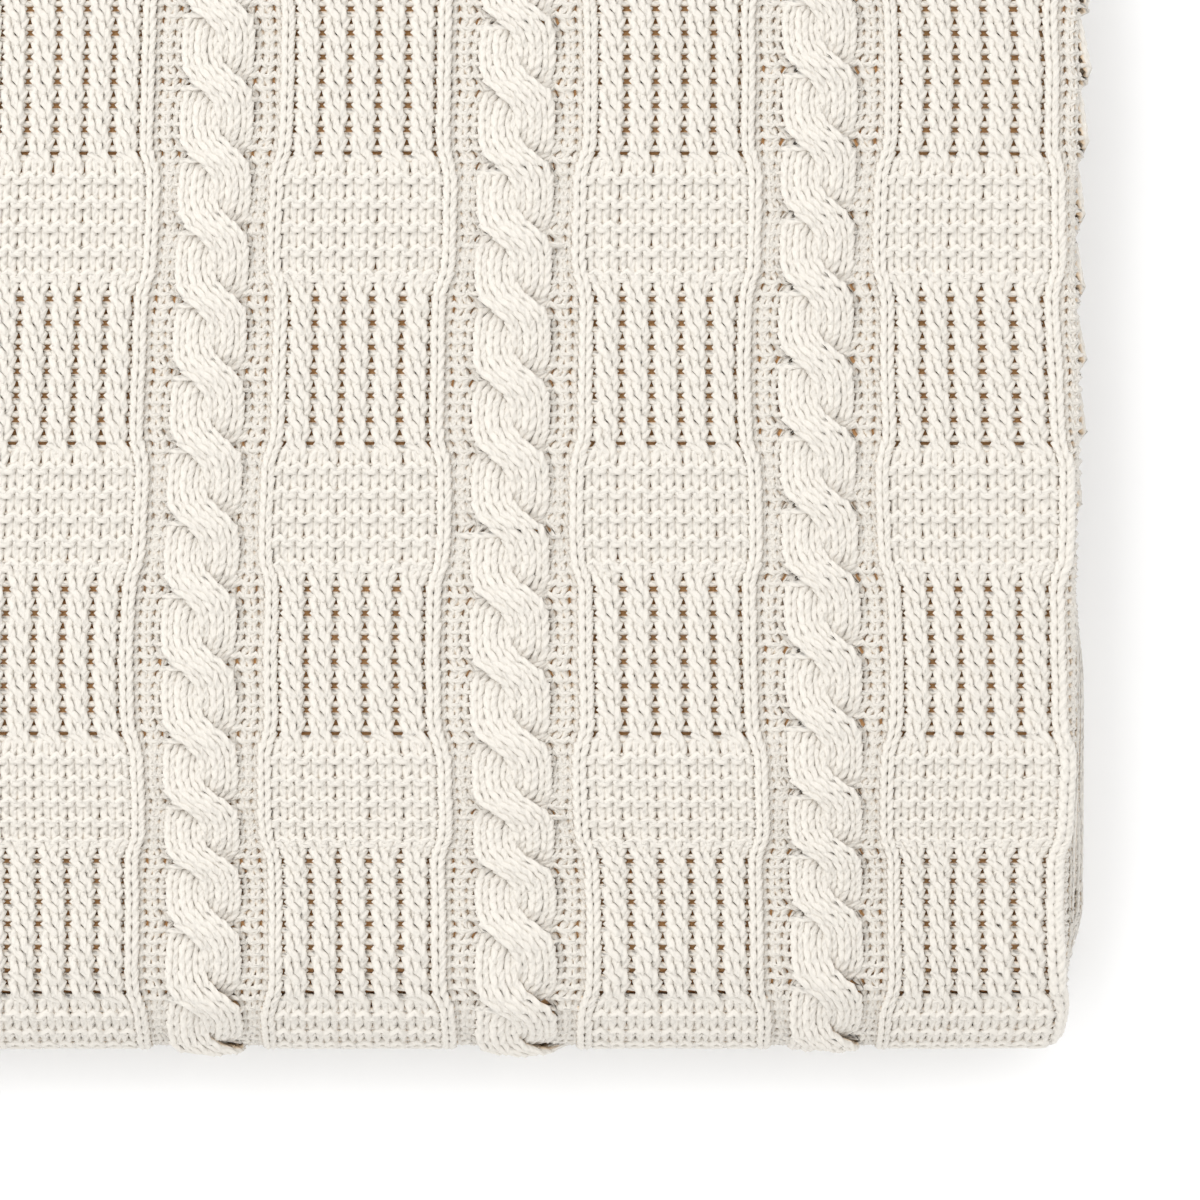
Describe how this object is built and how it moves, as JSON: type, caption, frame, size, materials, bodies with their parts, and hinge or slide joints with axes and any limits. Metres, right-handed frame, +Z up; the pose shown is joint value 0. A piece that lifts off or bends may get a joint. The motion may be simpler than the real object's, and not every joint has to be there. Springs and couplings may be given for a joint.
{
  "type": "folded throw blanket",
  "caption": "Cable-knit throw blanket folded flat for a shelf, with a full rolled fold at the front, a fold along one side, and an upper half that opens forward.",
  "frame": {"origin": "middle of the face it lies on", "axes": "+X towards the fold across the width, -Y towards the last fold, which is the front edge, +Z up"},
  "size_m": [0.6366, 0.3962, 0.0636],
  "materials": {
    "cable_knit": "soft matte knitted yarn, off-white cream",
    "garter_border": "soft matte garter knit, off-white cream",
    "label_satin": "smooth satin ribbon, blank",
    "sewing_thread": "fine twisted sewing thread"
  },
  "bodies": {
    "lower_half": {"ply_1": "cable_knit", "ply_2": "cable_knit", "ply_3": "cable_knit", "ply_4": "cable_knit", "side_fold_1": "cable_knit", "side_fold_2": "cable_knit", "front_roll_lower_1": "cable_knit", "front_roll_lower_2": "cable_knit", "front_roll_lower_3": "cable_knit", "front_roll_lower_4": "cable_knit", "roll_corner_lower_inner": "cable_knit", "roll_corner_lower_outer": "cable_knit", "cast_on_border": "garter_border", "bound_off_border": "garter_border", "care_label": "label_satin", "label_stitching": "sewing_thread"},
    "upper_half": {"ply_5": "cable_knit", "ply_6": "cable_knit", "ply_7": "cable_knit", "ply_8": "cable_knit", "side_fold_3": "cable_knit", "side_fold_4": "cable_knit", "front_roll_upper_1": "cable_knit", "front_roll_upper_2": "cable_knit", "front_roll_upper_3": "cable_knit", "front_roll_upper_4": "cable_knit", "roll_corner_upper_inner": "cable_knit", "roll_corner_upper_outer": "cable_knit", "back_fold_inner": "cable_knit", "back_fold_outer": "cable_knit", "back_corner": "cable_knit"}
  },
  "joints": [
    {"name": "front_fold", "type": "hinge", "parent": "lower_half", "child": "upper_half", "pos_m": [0, -0.19809, 0.0318], "axis": [1, 0, 0], "range_deg": [0, 180]}
  ]
}
